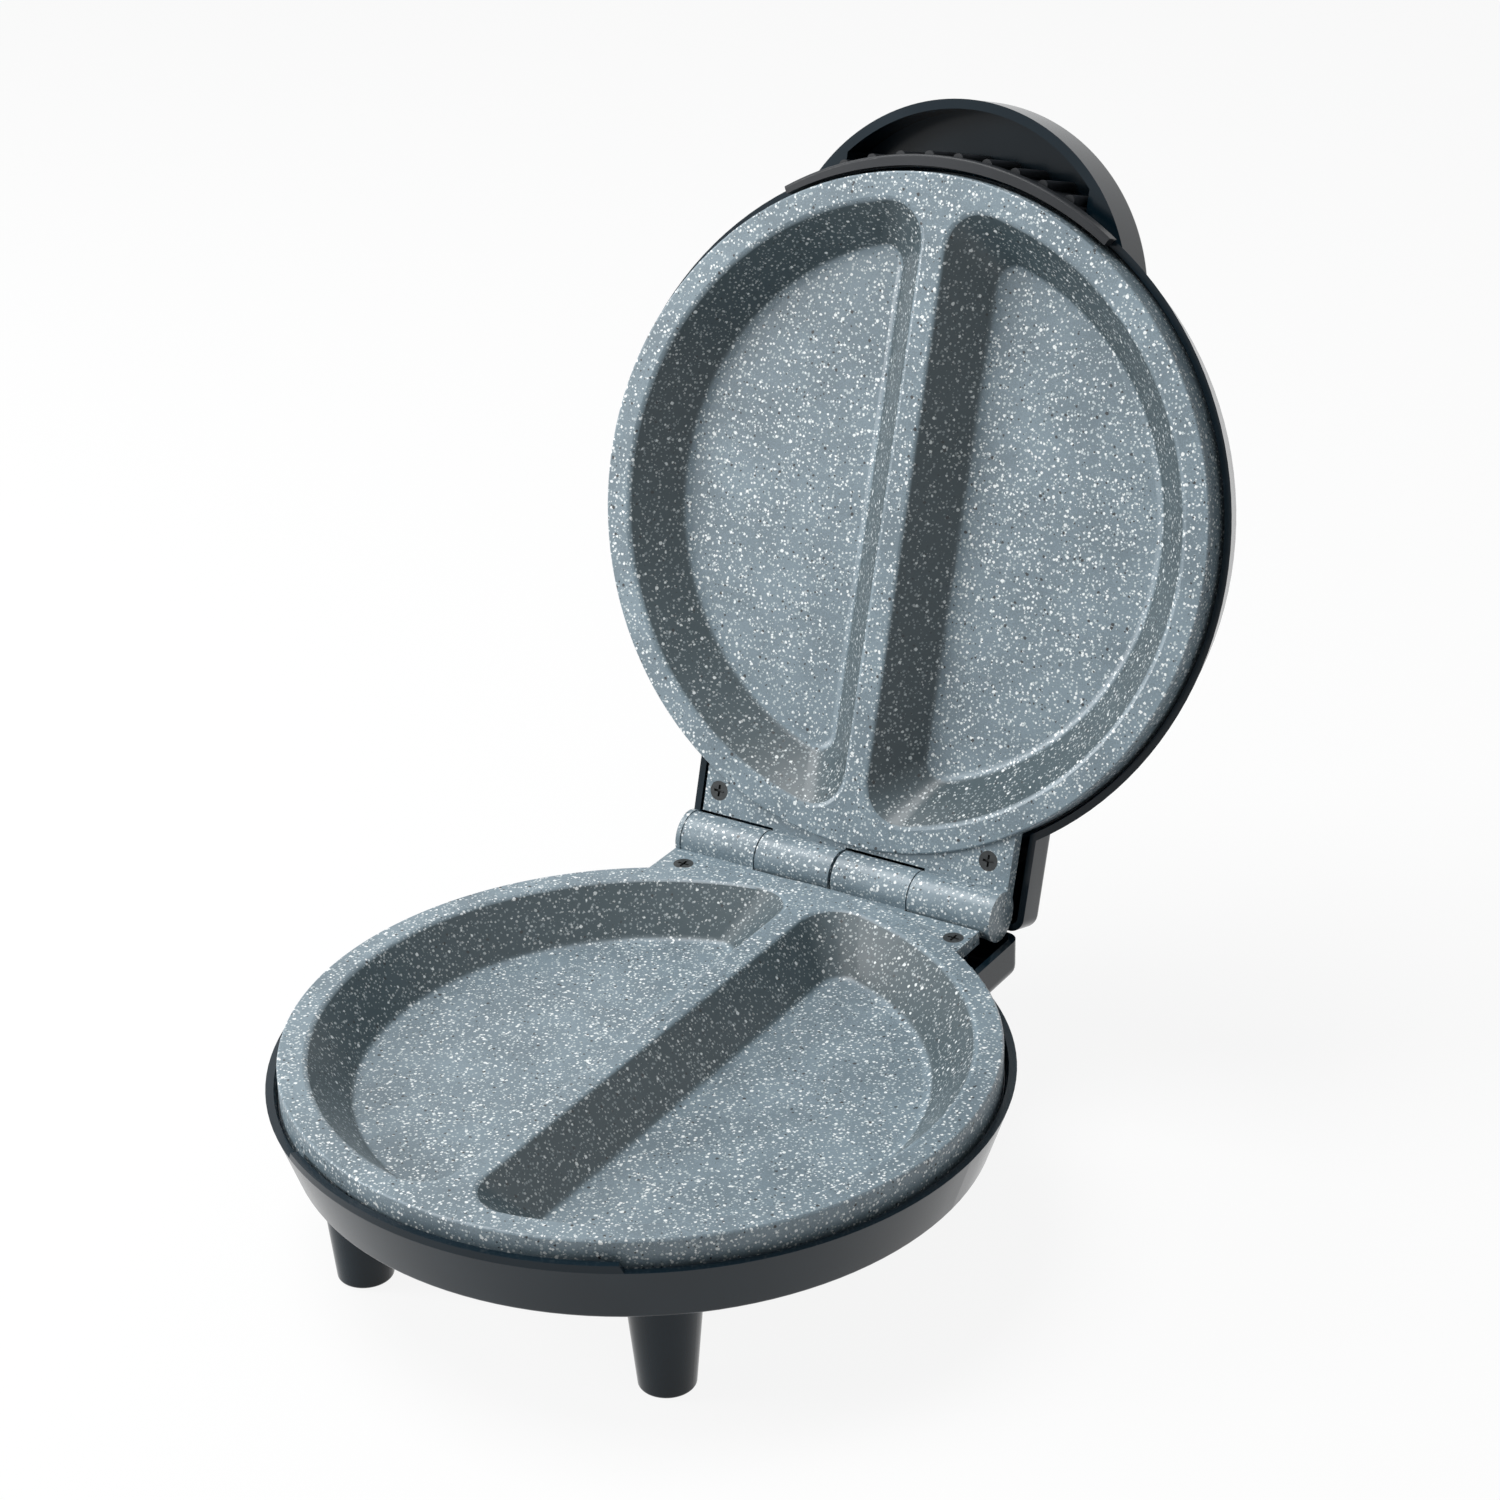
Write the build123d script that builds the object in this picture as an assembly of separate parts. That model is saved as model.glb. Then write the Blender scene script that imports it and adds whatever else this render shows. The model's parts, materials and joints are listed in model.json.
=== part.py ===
from build123d import *
import math
import os

# Electric omelette maker: a round base on four legs and a lid hinged behind it, each with a cast
# plate of two D-shaped pockets, a tubular heater and a reflector. It stands open, as it is loaded.
#
# Every piece is drawn with its plate face up at z = 0 and the middle of the plate at x = y = 0, so
# a depth below the face is a "drop". +X is right, -Y is the front, where the handle is. The lid's
# pieces are then turned over onto the base's and swung open about the hinge line.

# ---------------------------------------------------------------- lid and stance
open_angle = 107.0          # the lid leans back past upright
plate_gap = 0.5             # between the two plate faces with the lid down
foot_drop = 54.0            # plate face above the table

# ---------------------------------------------------------------- cast plates
plate_r = 95.0
skirt_wall = 4.0
skirt_drop = 10.0
land_width = 7.5            # from the pockets to the plate's edge
land_thick = 4.0
land_round = 0.6
divider_half = 3.6
pocket_depth = 13.5
pocket_draft = 41.0         # degrees, wall from upright
pocket_corner_r = 10.5
floor_corner_r = 6.0
brim_round = 2.0
floor_round = 4.0
plate_wall = 3.0

# ---------------------------------------------------------------- hinge
hinge_behind = 8.4          # hinge line behind the plates' edge
knuckle_pitch = 25.0
knuckle_r = 7.0
knuckle_gap = 0.4
centre_gap = 1.0
slot_gap = 0.55             # from a knuckle to the edge of the other plate's tab
cheek_r = 7.3
cheek_thick = 1.4
tab_short = 1.3             # the tab's end, inside the outer knuckle's
tab_drop = 1.3
tab_thick = 4.0
pin_r = 2.0
pin_inset = 0.5             # each end of the pin, inside the cheek

# ---------------------------------------------------------------- housings
housing_wall = 2.0
rim_out = 3.4               # rim beyond the plate's edge
rim_lap = 2.9               # rim up past the bottom of the plate's skirt
side_run = 5.5              # the side leans in by this, down to the shoulder
belly_inset = 14.4          # flat bottom's edge inside the rim
belly_rise = 6.2            # from the flat bottom up to the shoulder
shoulder_round = 1.5
belly_round = 4.0
dome_rise = 1.5
ledge_width = 6.4
ledge_thick = 2.0
floor_room = 3.1            # below the reflector, for the lamps and their wires
front_lip_rise = 2.2
front_lip_half_angle = 31.0
front_lip_slope = 1.2
block_side = 5.0            # block beyond the outer knuckles
block_behind = 5.1          # block behind the hinge line
block_drop = 19.0
block_corner_r = 4.0

# ---------------------------------------------------------------- bottom cover
cover_inset = 22.0          # inside the flat bottom's edge
cover_ledge_width = 7.3
cover_ledge_thick = 2.0
cover_chamfer = 0.5
cover_screw_inset = 3.6
cover_screw_count = 4
vent_count = 7
vent_length = 44.0
vent_width = 2.6
vent_pitch = 8.0

# ---------------------------------------------------------------- legs
front_leg_inset = 5.8       # middle of a front leg inside the flat bottom's edge
front_leg_angle = 53.05     # degrees forward of the side
rear_leg_x = 33.0
rear_leg_ahead = 9.4        # middle of a rear leg ahead of the hinge line
leg_top_r = 9.6
leg_foot_r = 7.4
leg_round = 1.0
pad_r = 5.8
pad_thick = 2.0
pad_proud = 0.5

# ---------------------------------------------------------------- heaters, reflectors, controls
element_inset = 37.0        # heater's ring inside the plate's edge
tube_r = 3.0
element_leg_x = 11.3
element_bend_r = 8.0
element_leg_reach = 18.0    # ends of the heater's legs behind its ring
cold_pin_r = 1.2
cold_pin_length = 3.0
clip_angles = (30.0, 150.0, 225.0, 315.0)
clip_width = 8.0
clip_thick = 0.8
clip_reach = 12.0           # from the tube's middle to the end of the clip's foot
clip_screw_reach = 8.4
clip_boss_r = 3.0
clip_boss_height = 3.0
reflector_inset = 12.0      # inside the flat bottom's edge
reflector_sheet = 0.6
reflector_flange = 2.5
post_angles = (20.0, 160.0, 200.0, 340.0)
post_r = 3.0
post_inset = 4.5            # inside the reflector's edge
thermostat_r = 6.2
thermostat_height = 7.0
thermostat_round = 1.0
thermostat_y = 30.0
fuse_r = 2.0
fuse_length = 12.0

# ---------------------------------------------------------------- wiring and cord inlet
wire_r = 1.1
wire_bend_r = 1.6
wire_lift = 2.5             # above the block's floor
lamp_wire_run = 8.8         # along which a lamp's wire goes over to the lamp's side
terminal_half = 13.0
terminal_depth = 7.5
terminal_height = 8.0
terminal_well_depth = 2.0
terminal_gap = 2.0          # behind the block, for the wall's rounding
inlet_x = -32.0
bush_r = 3.9
bush_flange_r = 5.4
bush_flange_thick = 1.2
bush_length = 6.0
bush_recess_r = 2.9
bush_recess_depth = 3.5
inlet_boss_wall = 1.3

# ---------------------------------------------------------------- handle and finger guard
handle_r = 54.7
handle_sink = 37.4          # the handle's own middle inside the rim
handle_rim_wall = 2.7
handle_below_rim = 6.4      # handle's open edge below the lid's rim
handle_top_step = 1.5       # handle's top short of the lid's flat top
handle_sheet = 2.5
handle_edge_round = 1.5
grip_half = 38.0
guard_lip_lap = 1.8         # the guard's lip reaches in over the rim by this
guard_lip_out = 1.4         # its middle beyond the rim
guard_tip_out = 0.5         # its ends beyond the rim
guard_lip_rise = 5.0
guard_lip_below_rim = 0.9
guard_lip_round = 0.8
guard_back_out = 0.2        # the guard's back beyond the rim
rod_out = 0.9               # middles of its rods beyond the rim
rod_count = 9
rod_r = 1.6
rod_pitch = 9.0
handle_screw_side = 5.0     # handle's screws beside the grip
handle_boss_half = 4.0
handle_boss_depth = 4.8     # inwards from the outside of the wall

# ---------------------------------------------------------------- lamps in the lid
lamp_x = 9.0
lamp_inset = 29.0           # inside the flat top's edge
lens_r = 3.8
lens_flange_r = 5.0
lens_flange_thick = 1.0
lamp_r = 1.4
lamp_length = 12.0
bracket_half = 14.0
bracket_thick = 2.0

# ---------------------------------------------------------------- screws
plate_screw_inset = 4.5     # inside the tab's end
plate_screw_ahead = 14.2    # ahead of the hinge line
plate_screw_head_r = 2.9
plate_screw_r = 1.6
plate_screw_length = 12.0
head_edge = 0.2             # height of a countersunk head's rim
plate_boss_r = 4.0
small_head_r = 2.4
small_head_height = 1.3
small_screw_r = 1.25
clip_screw_length = 5.2
post_screw_length = 3.6
cover_screw_length = 3.6
leg_screw_length = 16.0
leg_screw_pad_r = 3.6
leg_screw_pad_height = 1.0
handle_screw_length = 12.0
cross_width = 0.7
cross_depth = 0.9

# ---------------------------------------------------------------- fits
press_clear = 0.01
running_clear = 0.05
seat_clear = 0.1
clip_clear = 0.2            # round the heater's tube, which curves under its clips
side_clear = 0.3

# ---------------------------------------------------------------- worked out from these
hinge_y = plate_r + hinge_behind
hinge_z = plate_gap / 2
pocket_r = plate_r - land_width
pocket_tan = math.tan(math.radians(pocket_draft))
plate_under_drop = pocket_depth + plate_wall
shell_growth = plate_wall / math.cos(math.radians(pocket_draft))
tab_half = 2 * knuckle_pitch - tab_short
tab_under_drop = tab_drop + tab_thick
slot_y = hinge_y - knuckle_r - slot_gap
plate_screw_x = tab_half - plate_screw_inset
plate_screw_y = hinge_y - plate_screw_ahead
tube_drop = plate_under_drop + seat_clear + tube_r
reflector_drop = tube_drop + tube_r + clip_clear + clip_thick + 2 * seat_clear
post_drop = reflector_drop + reflector_sheet
clip_foot_drop = plate_under_drop + clip_boss_height
floor_in_drop = post_drop + floor_room
belly_drop = floor_in_drop + housing_wall
side_foot_drop = belly_drop - belly_rise
rim_drop = skirt_drop - rim_lap
rim_r = plate_r + rim_out
side_foot_r = rim_r - side_run
side_slope = side_run / (side_foot_drop - rim_drop)
belly_r = rim_r - belly_inset
block_half = 2 * knuckle_pitch + block_side
block_y = hinge_y + block_behind
block_in_y = block_y - housing_wall
block_floor_drop = block_drop - housing_wall
cover_r = belly_r - cover_inset
cover_screw_circle_r = cover_r - cover_screw_inset
rear_leg_y = hinge_y - rear_leg_ahead
element_r = plate_r - element_inset
element_end_y = element_r + element_leg_reach
reflector_r = belly_r - reflector_inset
post_circle_r = reflector_r - post_inset
terminal_front_y = block_in_y - terminal_gap - terminal_depth
fuse_y = (thermostat_y + thermostat_r + terminal_front_y) / 2
wire_drop = block_floor_drop - wire_lift
wire_rise_y = element_end_y + cold_pin_length + wire_bend_r + 2 * running_clear
inlet_drop = (block_drop + rim_drop) / 2
handle_centre_y = handle_sink - rim_r
handle_rim_drop = rim_drop + handle_below_rim
handle_top_drop = belly_drop - handle_top_step
ceiling_drop = handle_top_drop - handle_sheet
grip_r = handle_r - handle_rim_wall
handle_screw_x = grip_half + handle_screw_side
handle_screw_drop = (handle_rim_drop + ceiling_drop) / 2
handle_wall_r = rim_r - side_slope * (handle_screw_drop - rim_drop)
handle_boss_y = handle_boss_depth - math.sqrt(handle_wall_r ** 2 - handle_screw_x ** 2)
guard_lip_bottom_drop = rim_drop + guard_lip_below_rim
guard_root_drop = (rim_drop + guard_lip_bottom_drop) / 2
lamp_y = lamp_inset - belly_r
lamp_drop = floor_in_drop + seat_clear / 2 - lamp_r
far = 300.0                 # longer than anything here, for tools that cut right through


# ---------------------------------------------------------------- helpers
def box(x_span, y_span, z_span):
    """Box from its spans along the three axes."""
    middle = [(low + high) / 2 for low, high in (x_span, y_span, z_span)]
    size = [high - low for low, high in (x_span, y_span, z_span)]
    return Pos(*middle) * Box(*size)


def upright(radius, x, y, top_drop, bottom_drop):
    """Upright cylinder between two drops."""
    length = bottom_drop - top_drop
    return Pos(x, y, -(top_drop + bottom_drop) / 2) * Cylinder(radius, length)


def along_x(radius, x_span):
    """Cylinder on the hinge line."""
    middle = sum(x_span) / 2
    return Pos(middle, hinge_y, hinge_z) * Rot(Y=90) * Cylinder(radius, x_span[1] - x_span[0])


def on_circle(radius, angle):
    """Point on a circle about the plate's middle, the angle from +X."""
    return radius * math.cos(math.radians(angle)), radius * math.sin(math.radians(angle))


def front_sector(half_angle):
    """Wedge of space about the front, wide to a half angle on each side."""
    side_x = far * math.tan(math.radians(half_angle))
    wedge = Polyline((0, 0), (side_x, -far), (-side_x, -far), close=True)
    return Pos(0, 0, -far / 2) * extrude(make_face(wedge), far)


def cross_recess(head_r):
    """Cross-shaped driver recess in the top of a screw head."""
    arm = 1.2 * head_r
    return Box(arm, cross_width, 2 * cross_depth) + Box(cross_width, arm, 2 * cross_depth)


def countersunk_screw(head_r, shank_r, length):
    """Countersunk screw pointing down, its flat head at z = 0."""
    head_height = head_r - shank_r + head_edge
    head = Pos(0, 0, -head_height / 2) * Cone(shank_r, head_r, head_height)
    shank = Pos(0, 0, -length / 2) * Cylinder(shank_r, length)
    return head + shank - cross_recess(head_r)


def pan_screw(head_r, head_height, shank_r, length):
    """Pan-head screw pointing down, the underside of its head at z = 0."""
    head = Pos(0, 0, head_height / 2) * Cylinder(head_r, head_height)
    head = fillet(head.edges().group_by(Axis.Z)[-1], 0.45 * head_height)
    shank = Pos(0, 0, -length / 2) * Cylinder(shank_r, length)
    return head + shank - Pos(0, 0, head_height) * cross_recess(head_r)


def small_screw(length):
    """Small pan-head screw pointing down."""
    return pan_screw(small_head_r, small_head_height, small_screw_r, length)


def group(shapes):
    """Several equal pieces in one node, apart from one another."""
    return Compound(children=[shape if isinstance(shape, Solid) else shape.solid() for shape in shapes])


def wire_along(points):
    """Insulated wire along straight runs joined by round bends."""
    path = FilletPolyline(*points, radius=wire_bend_r)
    start = Plane(origin=path @ 0, z_dir=path % 0)
    return sweep(start * Circle(wire_r), path=path)


# ---------------------------------------------------------------- cast plate
def pocket_section(depth, growth):
    """Outline of the right-hand pocket at a depth, grown outwards by a wall."""
    inset = depth * pocket_tan - growth
    corner = pocket_corner_r + (floor_corner_r - pocket_corner_r) * depth / pocket_depth + growth
    half_plane = Pos(divider_half + inset + far / 2, 0) * Rectangle(far, far)
    outline = Circle(pocket_r - inset) & half_plane
    return Pos(0, 0, -depth) * fillet(outline.vertices(), corner)


def pocket_block(top, bottom, growth):
    """Tapered block with the pocket's outline between two depths."""
    return loft([pocket_section(top, growth), pocket_section(bottom, growth)], ruled=True)


def knuckle_spans():
    """Ends of a plate's two knuckles along the hinge line, the outer one first."""
    outer = (-2 * knuckle_pitch, -knuckle_pitch - knuckle_gap / 2)
    inner = (centre_gap / 2, knuckle_pitch - knuckle_gap / 2)
    return outer, inner


def hinge_tab(bore_r):
    """Rear tab of a plate with its two knuckles, the cheek on the outer one and the pin's bore."""
    outer, inner = knuckle_spans()
    cheek_span = (outer[0] - cheek_thick, outer[0])
    tab_z = (-tab_under_drop, -tab_drop)
    tab = box((cheek_span[0], tab_half), (plate_r / 2, slot_y), tab_z)
    for span in ((cheek_span[0], outer[1]), inner):
        tab += box(span, (plate_r / 2, hinge_y), tab_z)
    for span in (outer, inner):
        tab += along_x(knuckle_r, span)
    tab += along_x(cheek_r, cheek_span)
    tab -= along_x(bore_r, (outer[0] + pin_inset / 2, 2 * knuckle_pitch))
    return tab


def cooking_plate(bore_r):
    """Cast plate with two pockets, its skirt, rear tab, knuckles and clip bosses."""
    disc = Pos(0, 0, -skirt_drop / 2) * Cylinder(plate_r, skirt_drop)
    disc = fillet(disc.edges().group_by(Axis.Z)[-1], land_round)
    plate = disc - upright(plate_r - skirt_wall, 0, 0, land_thick, skirt_drop)
    tab = hinge_tab(bore_r)
    plate += tab - upright(plate_r - skirt_wall / 2, 0, 0, -far, far)
    shell = pocket_block(land_thick, plate_under_drop, shell_growth)
    plate += shell
    plate += mirror(shell, Plane.YZ)
    cutter = pocket_block(0, pocket_depth, 0)
    cutter = fillet(cutter.faces().sort_by(Axis.Z)[0].edges(), floor_round)
    plate -= cutter
    plate -= mirror(cutter, Plane.YZ)
    brim = [edge for edge in plate.edges() if abs(edge.center().Z) < 0.01
            and max(abs(edge.bounding_box().min.Z), abs(edge.bounding_box().max.Z)) < 0.01
            and math.hypot(edge.center().X, edge.center().Y) > 1
            and edge.length < 2 * math.pi * (plate_r - 2 * land_round)]
    plate = fillet(brim, brim_round)
    for angle in clip_angles:
        x, y = on_circle(element_r - clip_screw_reach, angle)
        plate += upright(clip_boss_r, x, y, plate_under_drop, clip_foot_drop)
        plate -= upright(small_screw_r + running_clear, x, y, clip_foot_drop - clip_screw_length,
                         clip_foot_drop)
    for x in (-plate_screw_x, plate_screw_x):
        sink = plate_screw_head_r - plate_screw_r + head_edge
        plate -= Pos(x, plate_screw_y, -tab_drop - sink / 2) * Cone(
            plate_screw_r + running_clear, plate_screw_head_r + running_clear, sink)
        plate -= upright(plate_screw_r + running_clear, x, plate_screw_y, tab_drop, tab_under_drop)
    return plate


def plate_screw(x):
    """Countersunk screw through the plate's tab into the housing's boss."""
    screw = countersunk_screw(plate_screw_head_r, plate_screw_r, plate_screw_length)
    return Pos(x, plate_screw_y, -tab_drop - running_clear) * screw


# ---------------------------------------------------------------- housings
def housing_section(grow, dome):
    """Half section of a housing's outside, moved outwards, from its rim down to its axis."""
    over = 2 * rim_drop
    top_r = rim_r + side_slope * (rim_drop + over)
    side = Polyline((-over, over), (top_r, over), (side_foot_r, -side_foot_drop), (belly_r, -belly_drop))
    if dome:
        crown_r = (belly_r ** 2 + dome ** 2) / (2 * dome)
        half_way = -belly_drop - dome + crown_r - math.sqrt(crown_r ** 2 - (belly_r / 2) ** 2)
        floor = ThreePointArc((belly_r, -belly_drop), (belly_r / 2, half_way), (0, -belly_drop - dome))
    else:
        floor = Line((belly_r, -belly_drop), (0, -belly_drop))
    axis_side = Polyline((0, -belly_drop - dome), (-over, -belly_drop - dome), (-over, over))
    section = make_face([*side.edges(), *floor.edges(), *axis_side.edges()])
    for drop, radius in ((side_foot_drop, shoulder_round), (belly_drop, belly_round)):
        corners = [v for v in section.vertices() if v.X > belly_r - 1 and abs(v.Y + drop) < 0.01]
        section = fillet(corners, radius)
    if grow:
        section = offset(section, grow, kind=Kind.INTERSECTION)
    return section & Pos(far / 2, -rim_drop - far / 2) * Rectangle(far, far)


def round_body(grow, dome):
    """Solid with the housing's round outside, moved outwards."""
    return revolve(Plane.XZ * housing_section(grow, dome), Axis.Z)


def rear_block(grow):
    """Solid with the outside of the block behind a housing, moved outwards."""
    half = block_half + grow
    block = box((-half, half), (hinge_y / 2, block_y + grow), (-block_drop - grow, -rim_drop))
    rear_corners = block.edges().filter_by(Axis.Z).group_by(Axis.Y)[-1]
    block = fillet(rear_corners, block_corner_r + grow)
    heel = block.edges().group_by(Axis.Z)[0].filter_by(lambda edge: edge.center().Y > hinge_y / 2 + 1)
    return fillet(heel, block_corner_r + grow - seat_clear)


def housing_shell(dome):
    """Hollow housing with its rear block, plate ledge, reflector posts and plate screw bosses."""
    outside = round_body(0, dome) + (rear_block(0) - upright(side_foot_r, 0, 0, rim_drop, far))
    inside = round_body(-housing_wall, dome)
    block_inside = rear_block(-housing_wall) - upright(side_foot_r - 2 * housing_wall, 0, 0,
                                                       block_drop, far)
    shell = outside - inside - block_inside
    ledge = upright(rim_r - housing_wall / 2, 0, 0, skirt_drop, skirt_drop + ledge_thick)
    ledge -= upright(rim_r - housing_wall - ledge_width, 0, 0, 0, far)
    shell += ledge & round_body(-housing_wall / 2, dome)
    for angle in post_angles:
        x, y = on_circle(post_circle_r, angle)
        post = upright(post_r, x, y, post_drop, belly_drop) & round_body(-housing_wall / 2, dome)
        shell += post
        shell -= upright(small_screw_r + running_clear, x, y, post_drop, post_drop + post_screw_length)
    for x in (-plate_screw_x, plate_screw_x):
        shell += upright(plate_boss_r, x, plate_screw_y, tab_under_drop, block_floor_drop + housing_wall / 2)
        shell -= upright(plate_screw_r + running_clear, x, plate_screw_y, tab_under_drop,
                         tab_drop + plate_screw_length + side_clear)
    return shell


def base_housing():
    """Base shell with its front lip, cover opening, leg screw pads and cord inlet."""
    shell = housing_shell(0)
    lip = upright(rim_r, 0, 0, rim_drop - front_lip_rise, rim_drop)
    lip -= upright(rim_r - housing_wall, 0, 0, 0, far)
    lip &= front_sector(front_lip_half_angle)
    ends = [edge for edge in lip.edges().group_by(Axis.Z)[-1] if edge.geom_type == GeomType.LINE]
    shell += chamfer(ends, front_lip_slope, front_lip_rise - seat_clear)
    opening_r = cover_r + side_clear
    ring_in_r = opening_r - cover_ledge_width
    ring_out_r = opening_r + housing_wall
    ring = upright(ring_out_r, 0, 0, floor_in_drop - cover_ledge_thick, floor_in_drop)
    ring -= upright(ring_in_r, 0, 0, 0, far)
    shell += ring
    shell -= upright(opening_r, 0, 0, floor_in_drop, far)
    for x, y in cover_screw_places():
        shell -= upright(small_screw_r + running_clear, x, y, 0, far)
    skin_middle = round_body(-housing_wall / 2, 0) + rear_block(-housing_wall / 2)
    for x, y, seat_drop in leg_seats():
        shell += upright(leg_screw_pad_r, x, y, seat_drop, belly_drop) & skin_middle
        shell -= upright(small_screw_r + running_clear, x, y, 0, far)
    boss = along_y(bush_r + inlet_boss_wall, (block_in_y - bush_length / 2, block_in_y + housing_wall / 2))
    boss &= box((-far, far), (0, block_y), (-block_drop, -rim_drop))
    shell += boss
    shell -= along_y(bush_r + running_clear, (block_in_y - bush_length, block_y + housing_wall))
    return shell


def along_y(radius, y_span):
    """Cylinder from front to back on the cord inlet's line."""
    return Pos(inlet_x, sum(y_span) / 2, -inlet_drop) * Rot(X=90) * Cylinder(radius, y_span[1] - y_span[0])


def lid_housing():
    """Lid shell, drawn upside down, with holes for the lamps and bosses for the handle's screws."""
    shell = housing_shell(dome_rise)
    for x in (-handle_screw_x, handle_screw_x):
        span = (x - handle_boss_half, x + handle_boss_half)
        drops = (-handle_screw_drop - handle_boss_half, -handle_screw_drop + handle_boss_half)
        boss = box(span, (-far, handle_boss_y), drops) & round_body(-housing_wall / 2, dome_rise)
        shell += boss
        shell -= front_bore(small_screw_r + running_clear, x)
    for x in (-lamp_x, lamp_x):
        shell -= upright(lens_r + running_clear, x, lamp_y, floor_in_drop - housing_wall, far)
    return shell


def front_bore(radius, x):
    """Bore from the handle's boss out through the front wall."""
    return Pos(x, handle_boss_y - far / 2, -handle_screw_drop) * Rot(X=90) * Cylinder(radius, far)


# ---------------------------------------------------------------- cover, legs
def cover_screw_places():
    """Places of the cover's screws."""
    step = 360 / cover_screw_count
    return [on_circle(cover_screw_circle_r, step * (i + 0.5)) for i in range(cover_screw_count)]


def bottom_cover():
    """Round cover under the base with a row of vents and screw holes."""
    cover = upright(cover_r, 0, 0, floor_in_drop, belly_drop)
    cover = chamfer(cover.edges().group_by(Axis.Z)[0], cover_chamfer)
    vent = extrude(SlotOverall(vent_length, vent_width, rotation=90), far, both=True)
    for i in range(vent_count):
        cover -= Pos((i - (vent_count - 1) / 2) * vent_pitch, 0, -belly_drop) * vent
    for x, y in cover_screw_places():
        cover -= upright(small_screw_r + running_clear, x, y, 0, far)
        cover -= upright(small_head_r + running_clear, x, y, belly_drop - small_head_height, far)
    return cover


def cover_screws():
    """Screws from below through the cover."""
    seat = belly_drop - small_head_height
    return group([Pos(x, y, -seat) * Rot(X=180) * small_screw(cover_screw_length)
                  for x, y in cover_screw_places()])


def leg_seats():
    """Place of each leg and drop of its screw's seat: the front pair under the round, the rear pair
    under the block, for the open lid's weight."""
    front_x, front_y = on_circle(belly_r - front_leg_inset, -front_leg_angle)
    pairs = ((front_x, front_y, floor_in_drop), (rear_leg_x, rear_leg_y, block_floor_drop))
    return [(side * x, y, drop - leg_screw_pad_height) for x, y, drop in pairs for side in (-1, 1)]


def leg(x, y, seat_drop):
    """Tapered leg, cut to the housing's underside, with its screw bore and pad recess."""
    sole_drop = foot_drop - pad_proud
    taper = (leg_top_r - leg_foot_r) / (sole_drop - belly_drop)
    height = sole_drop - block_floor_drop
    top_r = leg_foot_r + taper * height
    body = Pos(x, y, -sole_drop + height / 2) * Cone(leg_foot_r, top_r, height)
    body = fillet(body.edges().group_by(Axis.Z)[0], leg_round)
    body -= round_body(0, 0)
    body -= rear_block(0)
    body -= upright(pad_r + running_clear, x, y, foot_drop - pad_thick, foot_drop)
    return body - upright(small_screw_r + running_clear, x, y, 0, seat_drop + leg_screw_length + side_clear)


def leg_pad(x, y):
    """Rubber pad in the leg's recess."""
    pad = upright(pad_r, x, y, foot_drop - pad_thick, foot_drop)
    return fillet(pad.edges().group_by(Axis.Z)[0], pad_proud / 2)


def leg_screws():
    """Screws from inside the base down into the legs."""
    return group([Pos(x, y, -seat_drop) * small_screw(leg_screw_length) for x, y, seat_drop in leg_seats()])


# ---------------------------------------------------------------- heaters and controls
def element():
    """Tubular heater: an open ring with two legs to the rear and a cold pin in each end."""
    bend_x = element_leg_x + element_bend_r
    reach = element_r + element_bend_r
    bend_y = math.sqrt(reach ** 2 - bend_x ** 2)
    turn = math.degrees(math.atan2(bend_y, bend_x))
    left = CenterArc((-bend_x, bend_y), element_bend_r, 0, -turn)
    ring = CenterArc((0, 0), element_r, 180 - turn, 360 - 2 * (90 - turn))
    right = CenterArc((bend_x, bend_y), element_bend_r, 180 + turn, -turn)
    legs = [Line((x, element_end_y), (x, bend_y)) for x in (-element_leg_x, element_leg_x)]
    path = Wire([legs[0].edge(), left.edge(), ring.edge(), right.edge(), legs[1].edge()])
    start = Plane(origin=(-element_leg_x, element_end_y, 0), z_dir=(0, -1, 0))
    tube = sweep(start * Circle(tube_r), path=path)
    for x in (-element_leg_x, element_leg_x):
        middle_y = element_end_y + cold_pin_length / 2
        tube += Pos(x, middle_y, 0) * Rot(X=90) * Cylinder(cold_pin_r, cold_pin_length)
    return Pos(0, 0, -tube_drop) * tube


def element_clips():
    """Clips that hold the heater up against the plate."""
    inner_r = tube_r + clip_clear
    outer_r = inner_r + clip_thick
    saddle = Circle(outer_r) + Pos(0, outer_r / 2) * Rectangle(2 * outer_r, outer_r)
    saddle -= Circle(inner_r) + Pos(0, outer_r / 2) * Rectangle(2 * inner_r, outer_r)
    saddle -= Pos(-outer_r, outer_r / 2) * Rectangle(2 * outer_r, outer_r)
    head_room = tube_drop - plate_under_drop - seat_clear / 2
    saddle &= Pos(0, head_room - far / 2) * Rectangle(far, far)
    foot_top = tube_drop - clip_foot_drop
    foot_middle = (-(clip_reach + inner_r) / 2, foot_top - clip_thick / 2)
    profile = saddle + Pos(*foot_middle) * Rectangle(clip_reach - inner_r, clip_thick)
    strap = Pos(0, clip_width / 2, -tube_drop) * extrude(Plane.XZ * profile, clip_width)
    hole_x = -clip_screw_reach
    strap -= upright(small_screw_r + running_clear, hole_x, 0, 0, far)
    return group([Rot(Z=angle) * Pos(element_r, 0, 0) * strap for angle in clip_angles])


def clip_screws():
    """Screws that hold the clips to the plate's bosses."""
    seat = clip_foot_drop + clip_thick
    places = [on_circle(element_r - clip_screw_reach, angle) for angle in clip_angles]
    return group([Pos(x, y, -seat) * Rot(X=180) * small_screw(clip_screw_length) for x, y in places])


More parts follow.
